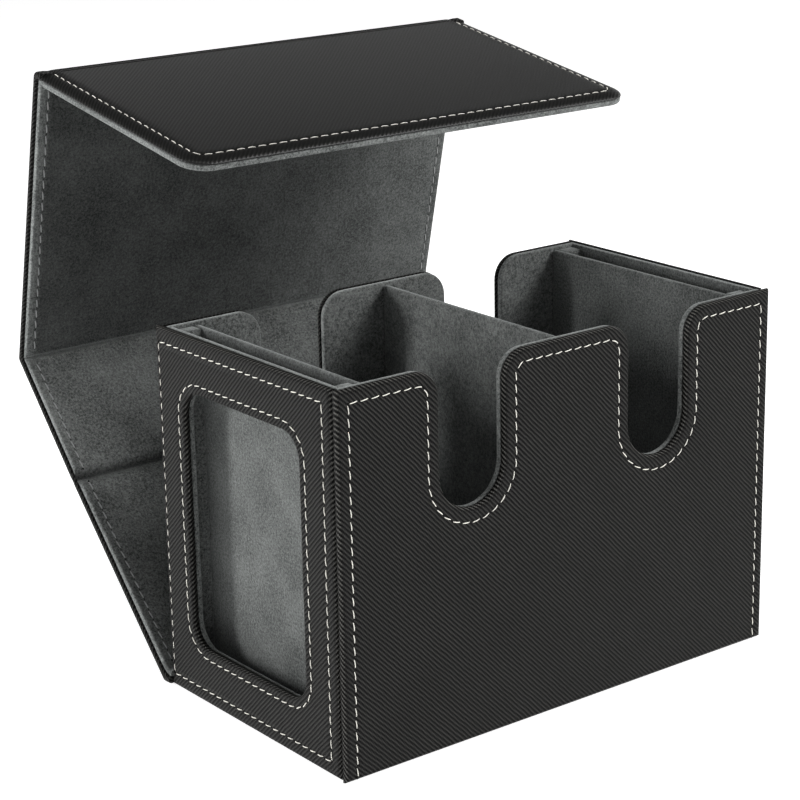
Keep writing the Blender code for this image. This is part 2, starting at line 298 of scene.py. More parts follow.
def sweep(name, section, stations, materials, painted_light=None):
    """A closed band: section is [(u, share)] where share 0 is the outer line and 1 the inner,
    and each station is ((y, z) outer, (y, z) inner). An optional list gives each station painted light,
    below 0 for painted shade."""
    builder = Builder()
    rows = []
    run = 0.0
    before = None
    for at, station in enumerate(stations):
        tone = painted_light[at] if painted_light else 0.0
        o, i = Vector((0, *station[0])), Vector((0, *station[1]))
        deep = Vector((0, *station[2])) if len(station) > 2 else None
        middle = (o + i) / 2
        if before is not None:
            run += (middle - before).length
        before = middle
        row = []
        for u, share in section:
            p = i.lerp(deep, (share - 1) / 0.43) if deep and share > 1 else o.lerp(i, share)
            row.append(builder.add(Vector((u, p.y, p.z)) * MM, tone))
        rows.append((row, run))
    count = len(section)
    along = [0.0]
    for (u0, s0), (u1, s1) in zip(section, section[1:]):
        along.append(along[-1] + math.hypot(u1 - u0, (s1 - s0) * 2.0))
    along.append(along[-1] + 2.0)
    shift = section[0][0]
    for (a, va), (b, vb) in zip(rows, rows[1:]):
        for k in range(count):
            m = (k + 1) % count
            us = ((along[k] + shift) * MM, (along[k + 1] + shift) * MM)
            uvs = [(us[0], va * MM), (us[1], va * MM), (us[1], vb * MM), (us[0], vb * MM)]
            builder.face([a[k], a[m], b[m], b[k]], uvs)
    for row, _ in (rows[0], rows[-1]):
        flat = [Vector((u, share * 2.0, 0.0)) for u, share in section]
        for tri in tessellate_polygon([flat]):
            builder.face([row[k] for k in tri], [(flat[k].x * MM, flat[k].y * MM) for k in tri])
    return builder.build(name, materials)


def section_from(profile, low, high):
    """Turns half of a plate's edge profile into a section across the whole cover."""
    right = [(COVER_X - inset, (depth - low) / (high - low)) for inset, depth, _ in profile]
    left = [(-u, share) for u, share in reversed(right)]
    return right + left


# ---------------------------------------------------------------- stitching
def split_at_corners(path, closed):
    """Cuts a line of points into runs that have no sharp corner inside."""
    points = list(path)
    if closed:
        points = points + [points[0]]
    runs = [[points[0]]]
    for k in range(1, len(points)):
        runs[-1].append(points[k])
        if k + 1 < len(points):
            a = Vector(points[k]) - Vector(points[k - 1])
            b = Vector(points[k + 1]) - Vector(points[k])
            if a.length > 1e-6 and b.length > 1e-6 and a.angle(b) > math.radians(40):
                runs.append([points[k]])
    return runs


def walk(run, distance):
    """The point and direction at a distance along a run."""
    left = distance
    for a, b in zip(run, run[1:]):
        step = Vector(b) - Vector(a)
        if step.length < 1e-9:
            continue
        if left <= step.length:
            return Vector(a) + step * (left / step.length), step.normalized()
        left -= step.length
    step = Vector(run[-1]) - Vector(run[-2])
    return Vector(run[-1]), step.normalized()


def stitches(name, place, paths, thread, hole, depth=SEAM_DIP, lean=0.14, radius=0.17, closed=False):
    """Slanted threads with a needle hole at each end, along each path of (u, v) points."""
    builder = Builder()
    for path in paths:
        for run in split_at_corners(path, closed):
            total = sum((Vector(b) - Vector(a)).length for a, b in zip(run, run[1:]))
            count = max(1, round(total / STITCH_PITCH))
            step = total / count
            for k in range(count):
                s0 = step * (k + 0.5 - STITCH_SHARE / 2)
                s1 = step * (k + 0.5 + STITCH_SHARE / 2)
                one_stitch(builder, place, run, s0, s1, depth, lean, radius)
                needle_hole(builder, place, run, step * k if k else 0.02, depth)
            needle_hole(builder, place, run, total - 0.02, depth)
    return builder.build(name, [thread, hole])


def one_stitch(builder, place, run, s0, s1, depth, lean, radius):
    rings = []
    steps = 8
    for k in range(steps + 1):
        t = k / steps
        centre, along = walk(run, s0 + (s1 - s0) * t)
        across = Vector((-along.y, along.x))
        centre = centre + across * (lean * (2 * t - 1))
        bulge = math.sin(math.pi * t) ** 0.45 if 0 < t < 1 else 0.0
        thick = radius * (0.35 + 0.65 * bulge)
        lift = depth - (0.34 * bulge - 0.16)
        twist = 1.0 + 0.06 * math.sin(t * 24.0)
        ring = []
        for j in range(8):
            a = 2 * math.pi * j / 8
            p = centre + across * (thick * twist * math.cos(a))
            ring.append(builder.add(place.at(p.x, p.y, lift + 0.8 * thick * math.sin(a))))
        rings.append(ring)
    for a, b in zip(rings, rings[1:]):
        for j in range(8):
            m = (j + 1) % 8
            uvs = [(j / 8, 0), ((j + 1) / 8, 0), ((j + 1) / 8, 1), (j / 8, 1)]
            builder.face([a[j], a[m], b[m], b[j]], uvs)
    builder.face(rings[0][::-1], [(0, 0)] * 8)
    builder.face(rings[-1], [(0, 0)] * 8)


# Each needle hole is a small dark plug at the surface: painted shade of the hole.
def needle_hole(builder, place, run, s, depth):
    centre, along = walk(run, s)
    across = Vector((-along.y, along.x))
    top = []
    bottom = []
    for j in range(8):
        a = 2 * math.pi * j / 8
        p = centre + along * (0.34 * math.cos(a)) + across * (0.27 * math.sin(a))
        top.append(builder.add(place.at(p.x, p.y, depth - 0.035)))
        bottom.append(builder.add(place.at(p.x, p.y, depth + 0.2)))
    for j in range(8):
        m = (j + 1) % 8
        builder.face([top[j], top[m], bottom[m], bottom[j]], [(0, 0)] * 4, 1)
    builder.face(top, [(0, 0)] * 8, 1)
    builder.face(bottom[::-1], [(0, 0)] * 8, 1)


# ---------------------------------------------------------------- materials
def node(tree, kind, **values):
    made = tree.nodes.new(kind)
    for key, value in values.items():
        setattr(made, key, value)
    return made


def maths(tree, operation, a, b=None, clamp=False):
    made = node(tree, "ShaderNodeMath", operation=operation, use_clamp=clamp)
    for socket, value in ((0, a), (1, b)):
        if value is None:
            continue
        if isinstance(value, (int, float)):
            made.inputs[socket].default_value = value
        else:
            tree.links.new(value, made.inputs[socket])
    return made.outputs[0]


def ramp(tree, value, stops):
    made = node(tree, "ShaderNodeValToRGB")
    elements = made.color_ramp.elements
    while len(elements) > 1:
        elements.remove(elements[-1])
    elements[0].position = stops[0][0]
    elements[0].color = (*stops[0][1], 1)
    for position, colour in stops[1:]:
        elements.new(position).color = (*colour, 1)
    tree.links.new(value, made.inputs[0])
    return made.outputs[0]


def noise(tree, vector, scale, detail=3.0, roughness=0.55):
    made = node(tree, "ShaderNodeTexNoise")
    made.inputs["Scale"].default_value = scale
    made.inputs["Detail"].default_value = detail
    made.inputs["Roughness"].default_value = roughness
    tree.links.new(vector, made.inputs["Vector"])
    return made.outputs["Fac"]


def bump(tree, height, strength, distance):
    made = node(tree, "ShaderNodeBump")
    made.inputs["Strength"].default_value = strength
    made.inputs["Distance"].default_value = distance
    tree.links.new(height, made.inputs["Height"])
    return made.outputs["Normal"]


def new_material(name, roughness):
    made = bpy.data.materials.new(name)
    made.use_nodes = True
    tree = made.node_tree
    shader = tree.nodes["Principled BSDF"]
    shader.inputs["Roughness"].default_value = roughness
    return made, tree, shader


def half_wave(tree, phase):
    """A sine of phase, in turns, moved into the range 0 to 1."""
    sine = maths(tree, "SINE", maths(tree, "MULTIPLY", phase, 2 * math.pi))
    return maths(tree, "ADD", maths(tree, "MULTIPLY", sine, 0.5), 0.5)


def leatherette(name, dark, light, depth=0.24, gloss=0.07):
    """Embossed twill: slanted ribs, each broken into short strands, over a fine grain. Rib tops on rolled
    edges get a painted highlight from the edge attribute; rib valleys are painted near black, partly the
    emboss's own tone and partly painted shade in the grooves.
    """
    made, tree, shader = new_material(name, 0.5)
    coord = node(tree, "ShaderNodeUVMap", uv_map="cloth").outputs[0]
    split = node(tree, "ShaderNodeSeparateXYZ")
    tree.links.new(coord, split.inputs[0])
    x, y = split.outputs[0], split.outputs[1]
    wobble = noise(tree, coord, 160.0, 2.0)
    wave = maths(tree, "MULTIPLY", maths(tree, "SUBTRACT", wobble, 0.5), 0.5)
    k = 1.0 / (math.sqrt(2) * RIB_PITCH * MM)
    phase = maths(tree, "ADD", maths(tree, "MULTIPLY", maths(tree, "ADD", x, y), k), wave)
    rib = half_wave(tree, phase)
    along_rib = maths(tree, "MULTIPLY", maths(tree, "SUBTRACT", x, y), k * 1.75)
    strand = half_wave(tree, maths(tree, "ADD", along_rib, maths(tree, "MULTIPLY", phase, 0.5)))
    grain = noise(tree, coord, 2600.0, 3.0)
    patch = noise(tree, coord, 45.0, 3.0)
    height = maths(tree, "ADD", rib, maths(tree, "MULTIPLY", strand, 0.30))
    height = maths(tree, "ADD", height, maths(tree, "MULTIPLY", grain, 0.35))
    broken = maths(tree, "ADD", maths(tree, "MULTIPLY", strand, 0.35), 0.65)
    # Rib valleys painted near black and rib tops light: partly the emboss's own tone, partly painted shade
    # in the grooves.
    shade = maths(tree, "MULTIPLY", maths(tree, "POWER", rib, 2.0), broken)
    clouded = maths(tree, "ADD", maths(tree, "MULTIPLY", patch, 0.5), 0.75)
    shade = maths(tree, "MULTIPLY", shade, clouded, clamp=True)
    # Painted highlight: the edge attribute lifts rib tops on rolled edges up to a colour 3.2 times the light
    # one.
    edge = node(tree, "ShaderNodeAttribute", attribute_name="edge").outputs["Fac"]
    shade = maths(tree, "MULTIPLY", shade, maths(tree, "ADD", maths(tree, "MULTIPLY", edge, 0.6), 0.4))
    mid = tuple(d + (l - d) * 0.4 for d, l in zip(dark, light))
    painted_light = tuple(c * 3.2 for c in light)
    colour = ramp(tree, shade, [(0.0, dark), (0.2, mid), (0.4, light), (1.0, painted_light)])
    tree.links.new(colour, shader.inputs["Base Color"])
    rough = maths(tree, "ADD", maths(tree, "MULTIPLY", grain, 0.15), 0.35)
    tree.links.new(rough, shader.inputs["Roughness"])
    shader.inputs["Specular IOR Level"].default_value = gloss
    tree.links.new(bump(tree, height, 1.0, depth * MM), shader.inputs["Normal"])
    return made


def suede(name, dark, light, painted_light_across=None):
    """Brushed nap: cloudy patches over a fine mottle, with a soft sheen at grazing angles. The edge
    attribute adds a painted highlight on rims and painted shade in crease dips; an optional gradient across
    the cover's width multiplies in painted shade and a painted highlight.
    """
    made, tree, shader = new_material(name, 0.95)
    coord = node(tree, "ShaderNodeTexCoord").outputs["Object"]
    cloud = noise(tree, coord, 55.0, 4.0, 0.6)
    mottle = noise(tree, coord, 1300.0, 3.0, 0.7)
    fibre = noise(tree, coord, 3400.0, 2.0, 0.6)
    mix = maths(tree, "ADD", maths(tree, "MULTIPLY", cloud, 0.35), maths(tree, "MULTIPLY", mottle, 0.85))
    mix = maths(tree, "ADD", mix, maths(tree, "MULTIPLY", fibre, 0.45))
    mix = maths(tree, "SUBTRACT", mix, 0.32)
    colour = ramp(tree, mix, [(0.34, dark), (0.70, light)])
    # Painted light from the edge attribute: suede rims lighter (painted highlight), crease dips darker
    # (painted shade).
    edge = node(tree, "ShaderNodeAttribute", attribute_name="edge").outputs["Fac"]
    lift = maths(tree, "ADD", maths(tree, "MULTIPLY", edge, 0.45), 1.0)
    painted_light_colour = node(tree, "ShaderNodeVectorMath", operation="SCALE")
    tree.links.new(colour, painted_light_colour.inputs[0])
    tree.links.new(lift, painted_light_colour.inputs["Scale"])
    colour = painted_light_colour.outputs[0]
    # Painted shade across the cover's width: darker towards the left, where the flap shades it, with a
    # painted highlight on the left rim.
    if painted_light_across:
        split = node(tree, "ShaderNodeSeparateXYZ")
        tree.links.new(coord, split.inputs[0])
        across = maths(tree, "ADD", maths(tree, "MULTIPLY", split.outputs[0], 1 / (2 * COVER_X * MM)), 0.5)
        tone = ramp(tree, across, [(at, (value,) * 3) for at, value in painted_light_across])
        mixer = node(tree, "ShaderNodeMix", data_type="RGBA", blend_type="MULTIPLY")
        mixer.inputs[0].default_value = 1.0
        tree.links.new(colour, mixer.inputs[6])
        tree.links.new(tone, mixer.inputs[7])
        colour = mixer.outputs[2]
    tree.links.new(colour, shader.inputs["Base Color"])
    shader.inputs["Specular IOR Level"].default_value = 0.08
    shader.inputs["Sheen Weight"].default_value = SUEDE_SHEEN
    shader.inputs["Sheen Roughness"].default_value = 0.45
    shader.inputs["Sheen Tint"].default_value = (0.9, 0.95, 0.93, 1)
    height = maths(tree, "ADD", maths(tree, "MULTIPLY", mottle, 0.7), maths(tree, "MULTIPLY", fibre, 0.5))
    tree.links.new(bump(tree, height, 0.7, 0.25 * MM), shader.inputs["Normal"])
    return made


def thread_material(name, colour):
    made, tree, shader = new_material(name, 0.7)
    coord = node(tree, "ShaderNodeTexCoord").outputs["Object"]
    ply = noise(tree, coord, 2500.0, 2.0)
    darker = tuple(c * 0.72 for c in colour)
    tree.links.new(ramp(tree, ply, [(0.3, darker), (0.65, colour)]), shader.inputs["Base Color"])
    shader.inputs["Sheen Weight"].default_value = 0.2
    tree.links.new(bump(tree, ply, 0.6, 0.08 * MM), shader.inputs["Normal"])
    return made


def plain(name, colour, roughness):
    made, tree, shader = new_material(name, roughness)
    coord = node(tree, "ShaderNodeTexCoord").outputs["Object"]
    grain = noise(tree, coord, 1500.0, 2.0)
    darker = tuple(c * 0.85 for c in colour)
    tree.links.new(ramp(tree, grain, [(0.3, darker), (0.7, colour)]), shader.inputs["Base Color"])
    shader.inputs["Specular IOR Level"].default_value = 0.1
    return made


LEATHER_MAT = leatherette("leatherette", (0.0004, 0.0004, 0.0004), (0.036, 0.0355, 0.0330))
FLAP_MAT = leatherette("leatherette_flap", (0.0072, 0.0072, 0.0069), (0.0128, 0.0128, 0.0122),
                       depth=0.06, gloss=0.24)
SUEDE_MAT = suede("suede", (0.023, 0.0245, 0.024), (0.160, 0.167, 0.163))
# Top-panel suede: a darker copy with painted shade across its width, darker towards the left, and a painted
# highlight on the left rim.
SUEDE_TOP = suede("suede_painted_shade_across", (0.022, 0.0235, 0.023), (0.135, 0.141, 0.138),
                  painted_light_across=[(0.0, 1.5), (0.014, 1.3), (0.03, 0.5), (0.12, 0.5), (0.45, 0.62), (0.8, 0.85),
                         (1.0, 1.0)])
# Back-panel suede: a lighter copy of the lining suede, painted light for those panels.
SUEDE_BACK = suede("suede_painted_lighter", (0.030, 0.032, 0.031), (0.185, 0.192, 0.188))
THREAD = thread_material("thread_cream", (0.80, 0.78, 0.71))
THREAD_GREY = thread_material("thread_grey", (0.27, 0.275, 0.275))
# Near-black needle holes: painted shade in the holes.
HOLE = plain("needle_hole", (0.004, 0.004, 0.004), 0.9)


# ---------------------------------------------------------------- box walls
def settle(obj, body, nodes=()):
    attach(obj, body)
    if nodes:
        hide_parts(*nodes)
    return obj


def low_edge(inset):
    """The bottom edge hardly moves in, so a seam runs straight down to it."""
    return min(inset, 1.3) + 0.03 * max(0.0, inset - 1.3)


def long_wall(side_name, side):
    place = Place((0, side * HALF_Y, 0), (1, 0, 0), (0, 0, 1), (0, -side, 0))
    half = HALF_X if side < 0 else HALF_X - LEATHER - 0.15
    seam = STITCH_IN
    column = 4.1 if side < 0 else 2.3

    def outline(inset):
        return cut_wall(half - inset * (column / seam if inset > 1.8 else 1.0), low_edge(inset), inset)

    profile = leather_profile(seam, 7.6, 1.7, LEATHER)
    name = side_name + "_wall"
    nodes = [name + "_leather", name + "_board"]
    if side < 0:
        nodes += ["front_magnet_left", "front_magnet_right"]
    skin = plate(name + "_skin", place, outline, profile, [LEATHER_MAT])
    settle(skin, "box", nodes)

    def inner(inset):
        return cut_wall(HALF_X - LEATHER - 0.15 - inset, 3.4 + min(inset, 0.3), inset)

    suede_steps = lining_profile(WALL, SUEDE_FROM, 0.8, 0.22, 3.0)
    lining = plate(name + "_suede", place, inner, suede_steps, [SUEDE_MAT])
    settle(lining, "box", [name + "_lining"])

    path = cut_wall(half - column, 0.8, seam)
    line = path[1:] + path[:1]
    thread = stitches(name + "_stitches", place, [line], THREAD, HOLE, lean=0.2 * -side)
    settle(thread, "box")


def end_wall(side_name, side):
    place = Place((side * HALF_X, 0, 0), (0, 1, 0), (0, 0, 1), (-side, 0, 0))
    front, back = -HALF_Y + LEATHER + 1.1, HALF_Y
    seam_box = (-39.7, 4.5, 45.3, 114.9)

    def outline(inset):
        """Insets up to the roll are even; past it the lines drift to the stitched rectangle."""
        if inset <= 1.6:
            return rect(front + inset, inset, back - inset, HEIGHT - inset)
        share = (inset - 1.6) / (STITCH_IN - 1.6)
        goal = ((seam_box[0] - front), seam_box[1], (back - seam_box[2]), (HEIGHT - seam_box[3]))
        offs = [1.6 + (g - 1.6) * share for g in goal]
        return rect(front + offs[0], offs[1], back - offs[2], HEIGHT - offs[3])

    def window(inset):
        """The window's edge, moved out into the leather by inset."""
        return round_rect(WINDOW[0] - inset, WINDOW[1] - inset, WINDOW[2] + inset, WINDOW[3] + inset,
                          WINDOW_R + inset)

    outer = leather_profile(STITCH_IN, 6.4, 1.5, LEATHER)
    hole = leather_profile(3.1, 5.6, 1.1, LEATHER, 0.22)
    name = side_name + "_end"
    skin = plate(name + "_skin", place, outline, outer, [LEATHER_MAT], [(window, hole)])
    settle(skin, "box", [name + "_leather", name + "_board"])

    reach = HALF_Y - WALL - 0.1

    def inner(inset):
        return rect(-reach, 3.4, reach, HEIGHT - inset)

    suede_steps = lining_profile(WALL, SUEDE_FROM, 0.8, 0.22, 3.0)
    gap_steps = lining_profile(WALL, SUEDE_FROM, 0.8, 0.9, 2.6)
    lining = plate(name + "_suede", place, inner, suede_steps, [SUEDE_MAT], [(window, gap_steps)])
    settle(lining, "box", [name + "_lining"])

    rows = [rect(*seam_box)]
    ring = window(3.1)
    thread = stitches(name + "_stitches", place, rows, THREAD, HOLE, closed=True, lean=0.2 * side)
    settle(thread, "box")
    ring_thread = stitches(name + "_window_stitches", place, [ring], THREAD, HOLE, 0.22, closed=True,
                           lean=0.2 * side)
    settle(ring_thread, "box")


def soft_block(name, low, high, radius, material, segments=3):
    """A block with rounded edges."""
    low, high = Vector(low) * MM, Vector(high) * MM
    work = bmesh.new()
    fitted = Matrix.Translation((low + high) / 2) @ Matrix.Diagonal((*(high - low), 1))
    bmesh.ops.create_cube(work, size=1.0, matrix=fitted)
    bmesh.ops.bevel(work, geom=work.edges[:], offset=radius * MM, segments=segments, affect="EDGES",
                    profile=0.5)
    mesh = bpy.data.meshes.new(name)
    work.to_mesh(mesh)
    work.free()
    mesh.uv_layers.new(name="cloth")
    mesh.materials.append(material)
    mesh.shade_smooth()
    mesh.set_sharp_from_angle(angle=math.radians(50))
    obj = bpy.data.objects.new(name, mesh)
    bpy.context.scene.collection.objects.link(obj)
    return obj


def box_inside():
    leather_x, leather_y = HALF_X - LEATHER - 0.3, HALF_Y - LEATHER - 0.35
    base = soft_block("base_skin", (-leather_x, -leather_y, 0.0), (leather_x, leather_y, 1.2), 0.4,
                      LEATHER_MAT)
    settle(base, "box", ["floor_leather", "floor_board"])
    x, y = HALF_X - WALL - 0.05, HALF_Y - WALL - 0.05
    floor = soft_block("floor_suede", (-x, -y, 1.4), (x, y, FLOOR_TOP), 0.3, SUEDE_MAT)
    settle(floor, "box", ["floor_lining"])
    for label, cx in (("left", -DIVIDER_X), ("middle", 0.0), ("right", DIVIDER_X)):
        name = label + "_divider"
        low = (cx - DIVIDER_HALF, -y, FLOOR_TOP + 0.05)
        high = (cx + DIVIDER_HALF, y, HEIGHT - DIVIDER_DROP)
        block = soft_block(name, low, high, 1.1, SUEDE_MAT, 5)
        settle(block, "box", [name + "_board", name + "_suede"])
    inner, outer = DIVIDER_X + DIVIDER_HALF + 0.05, HALF_X - WALL - 0.05
    for label, side in (("left", -1), ("right", 1)):
        x0, x1 = sorted((side * inner, side * outer))
        for end_label, end in (("front", -1), ("back", 1)):
            y0, y1 = sorted((end * (y - 4.8), end * y))
            name = label + "_pocket_" + end_label
            low = (x0, y0, FLOOR_TOP + 0.05)
            high = (x1, y1, HEIGHT - PAD_DROP)
            block = soft_block(name + "_pad", low, high, 0.7, SUEDE_MAT, 4)
            settle(block, "box", [name + "_spacer"])


# ---------------------------------------------------------------- cover
def unit(angle):
    a = math.radians(angle)
    return Vector((0, math.cos(a), math.sin(a)))


def inward(angle):
    return unit(angle + 90)


JOINTS = [Vector((0, *HINGE))]
for length, angle in zip(LENGTHS, ANGLES):
    JOINTS.append(JOINTS[-1] + unit(angle) * length)


def yz(point):
    return (point.y, point.z)


def panel_place(index):
    angle = ANGLES[index]
    n = inward(angle)
    return Place(JOINTS[index] - n * COVER_HALF, (1, 0, 0), unit(angle), n)


# (inset, depth) of the flap's leather, from the field over the edge band to the turned-in end
COVER_BAND = ((8.2, 0.0), (7.0, 0.0), (6.2, 0.03), (5.5, 0.1), (4.9, 0.24), (4.4, 0.24), (3.7, 0.22),
              (2.8, 0.38), (1.9, 0.62), (1.2, 0.84), (0.7, 1.04), (0.3, 1.28), (0.08, 1.5), (0.0, 1.68),
              (0.08, 1.84), (0.4, 1.92), (1.2, 1.92), (2.0, SKIN))


def band_steps():
    """The cover's edge band slopes down from the stitches; the cloth runs on round the edge."""
    out = []
    run = COVER_BAND[0][0]
    before = COVER_BAND[0]
    for inset, depth in COVER_BAND:
        run -= math.hypot(inset - before[0], depth - before[1])
        before = (inset, depth)
        out.append((inset, depth, run))
    return out


FLAP_STEPS = band_steps()
PANEL_STEPS = leather_profile(COVER_STITCH_IN, 8.2, 1.0, 2.15, 0.2)[:-2]
PANEL_STEPS += [(0.5, 2.2, -2.0), (1.5, 2.2, -3.0), (2.0, SKIN, -3.9)]
LINING_BACK = SKIN + 0.12
LINING_SIDE = ((0.12, 2.8), (0.12, 2.4), (0.27, 2.12), (0.7, 2.03), (2.0, 2.03), (2.5, LINING_BACK))
FLAP_LINING = lining_profile(2 * COVER_HALF, LINING_BACK, 0.75, 0.12, 8.0, 3.9)[:-4]
FLAP_LINING += [(inset, depth, inset - depth) for inset, depth in LINING_SIDE]
PANEL_LINING = lining_profile(2 * COVER_HALF, LINING_BACK, 0.8, 0.9, 8.0, 4.1)[:-4]
PANEL_LINING += [(inset + 0.78, depth, inset - depth) for inset, depth in LINING_SIDE[:2]]
PANEL_LINING += [(1.1, 2.32, -1.5), (2.2, 2.32, -2.6), (2.7, LINING_BACK, -3.6)]


def cover_panel(name, index, body, skin_span, lining_span, rounded, material, inner_material):
    place = panel_place(index)

    def outline(inset):
        return cover_outline(skin_span[0], skin_span[1], inset, rounded)

    def lining_outline(inset):
        return cover_outline(lining_span[0], lining_span[1], inset, rounded)

    nodes = [name + "_leather", name + "_board"]
    if rounded:
        nodes += ["flap_magnet_left", "flap_magnet_right"]
    skin = plate(name + "_skin", place, outline, FLAP_STEPS if rounded else PANEL_STEPS, [material])
    settle(skin, body, nodes)
    lining_steps = FLAP_LINING if rounded else PANEL_LINING
    lining = plate(name + "_suede", place, lining_outline, lining_steps, [inner_material])
    settle(lining, body, [name + "_lining"])

    start, end = skin_span
    half = COVER_X - COVER_STITCH_IN
    if rounded:
        loop = cover_outline(start + 0.5, end, COVER_STITCH_IN, True)
        paths = [loop[1:] + loop[:1]]
    else:
        paths = [[(-half, start + 0.3), (-half, end - 0.3)], [(half, start + 0.3), (half, end - 0.3)]]
    thread = stitches(name + "_stitches", place, paths, THREAD, HOLE, 0.26, 0.14)
    settle(thread, body)
    half = COVER_X - 3.9
    inside = Place(place.origin + place.n * (2 * COVER_HALF), (1, 0, 0), place.v, -place.n)
    if rounded:
        loop = cover_outline(start + 2.5, end, 3.9, True)
        paths = [loop[1:] + loop[:1]]
    else:
        paths = [[(-half, start + 0.8), (-half, end - 0.8)], [(half, start + 0.8), (half, end - 0.8)]]
    under = stitches(name + "_inner_stitches", inside, paths, THREAD_GREY, HOLE, 0.2, 0.2, 0.26)
    settle(under, body)


def fan(joint, start, end, near, far, steps, spans=None):
    """Stations on arcs round a fold, between two directions of inward normal. spans places the
    turned-in edge, which runs straight across the inside of the bend."""
    out = []
    whole = spans or (start, end)
    middle = (whole[0] + whole[1]) / 2
    for k in range(steps + 1):
        angle = start + (end - start) * k / steps
        n = inward(angle)
        deep = joint + inward(middle) * 0.35 + unit(middle) * ((angle - middle) / (whole[1] - whole[0]))
        out.append((yz(joint - n * near), yz(joint - n * far), yz(deep)))
    return out


def straight(joint, angle, v, outer, inner):
    """One station across a panel at distance v from the joint; depths from the outer face."""
    base = joint + unit(angle) * v
    n = inward(angle)
    return (yz(base + n * (outer - COVER_HALF)), yz(base + n * (inner - COVER_HALF)))


def bezier(a, b, c, t):
    return tuple((1 - t) ** 2 * p + 2 * t * (1 - t) * q + t * t * r for p, q, r in zip(a, b, c))


def concave(joint, before, after, reach, crease, steps, spans=(0.0, 1.0)):
    """Stations of the suede that runs through the inside of a fold, pinched to a crease."""
    first = straight(joint, before, -reach, LINING_BACK, 2 * COVER_HALF)
    last = straight(joint, after, reach, LINING_BACK, 2 * COVER_HALF)
    bend = math.radians(after - before)
    n = inward((before + after) / 2)
    corner = joint + n * (COVER_HALF / math.cos(bend / 2) - 0.2)
    back = COVER_HALF - LINING_BACK
    out = []
    for k in range(steps + 1):
        t = spans[0] + (spans[1] - spans[0]) * k / steps
        if t < 0.4:
            outer = straight(joint, before, -reach * (1 - t / 0.4), LINING_BACK, 0)[0]
        elif t > 0.6:
            outer = straight(joint, after, reach * (t - 0.6) / 0.4, LINING_BACK, 0)[0]
        else:
            outer = yz(joint - inward(before + (after - before) * (t - 0.4) / 0.2) * back)
        y, z = bezier(first[1], yz(corner), last[1], t)
        pinch = crease * math.exp(-((t - 0.5) / 0.075) ** 2)
        out.append((outer, (y - n.y * pinch, z - n.z * pinch)))
    return out


SKIN_SECTION = section_from(PANEL_STEPS, 0.0, SKIN)
LINING_SECTION = section_from(PANEL_LINING, LINING_BACK, 2 * COVER_HALF)
SKIN_CLEAR = 2.6
LINING_CLEAR = 4.6


def fold_blend(obj, a, b, joint, before, after, reach, side=0):
    """Bakes a fold's strip into world space. side is not used; it would be -1 to end at the fold's middle
    and 1 to start there.
    """
    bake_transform(obj)


def hinge_strip():
    """The leather and suede between the foot of the back wall and the cover."""
    joint, angle = JOINTS[0], ANGLES[0]
    y = HINGE[0]
    stations = [((47.5, 0.15), (47.5, 1.45)), ((y - 1.6, 0.02), (y - 1.4, 1.4))]
    stations += fan(joint, 0.0, angle, COVER_HALF, COVER_HALF - SKIN, 8)
    stations.append(straight(joint, angle, 3.0, 0.0, SKIN))
    strip = sweep("cover_hinge_leather", SKIN_SECTION, stations, [LEATHER_MAT])
    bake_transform(strip)
    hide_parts("cover_hinge_strip")
    last = straight(joint, angle, LINING_CLEAR, LINING_BACK, 2 * COVER_HALF)
    out = []
    for k in range(9):
        t = k / 8
        under = bezier((47.5, 1.6), (y + 0.1, 1.7), last[0], t)
        over = bezier((47.5, 4.4), (y - 0.6, 3.6), last[1], t)
        out.append((under, over))
    inner = sweep("cover_hinge_suede", LINING_SECTION, out, [SUEDE_MAT])
    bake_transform(inner)


# (distance across the crease, depth of the dip), and how much painted shade a dip puts into the nap's colour
CREASE_DIP = ((-4.0, 0.0), (-3.0, 0.15), (-2.0, 0.6), (-1.2, 1.3), (-0.4, 1.9), (0.4, 1.9), (1.2, 1.4),
              (2.0, 0.8), (3.0, 0.2), (4.0, 0.0))
CREASE_SHADE = 0.85


def crease_strip():
    joint, before, after = JOINTS[1], ANGLES[0], ANGLES[1]
    bodies = ("lower_back_panel", "upper_back_panel")
    stations = []
    for v, dip in ((-1.6, 0.0), (-1.0, 0.12), (-0.4, 0.3), (0.4, 0.3), (1.0, 0.12), (1.6, 0.0)):
        stations.append(straight(joint, before if v < 0 else after, v, dip, SKIN))
    strip = sweep("back_crease_leather", SKIN_SECTION, stations, [LEATHER_MAT])
    fold_blend(strip, *bodies, joint, before, after, 1.4)
    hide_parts("back_crease_strip")
    stations = []
    for v, dip in CREASE_DIP:
        stations.append(straight(joint, before if v < 0 else after, v, LINING_BACK, 2 * COVER_HALF - dip))
    # Painted shade in the crease: each station's nap colour darkens with its dip.
    tones = [-CREASE_SHADE * dip for _, dip in CREASE_DIP]
    inner = sweep("back_crease_suede", LINING_SECTION, stations, [SUEDE_BACK], tones)
    fold_blend(inner, *bodies, joint, before, after, 1.8)


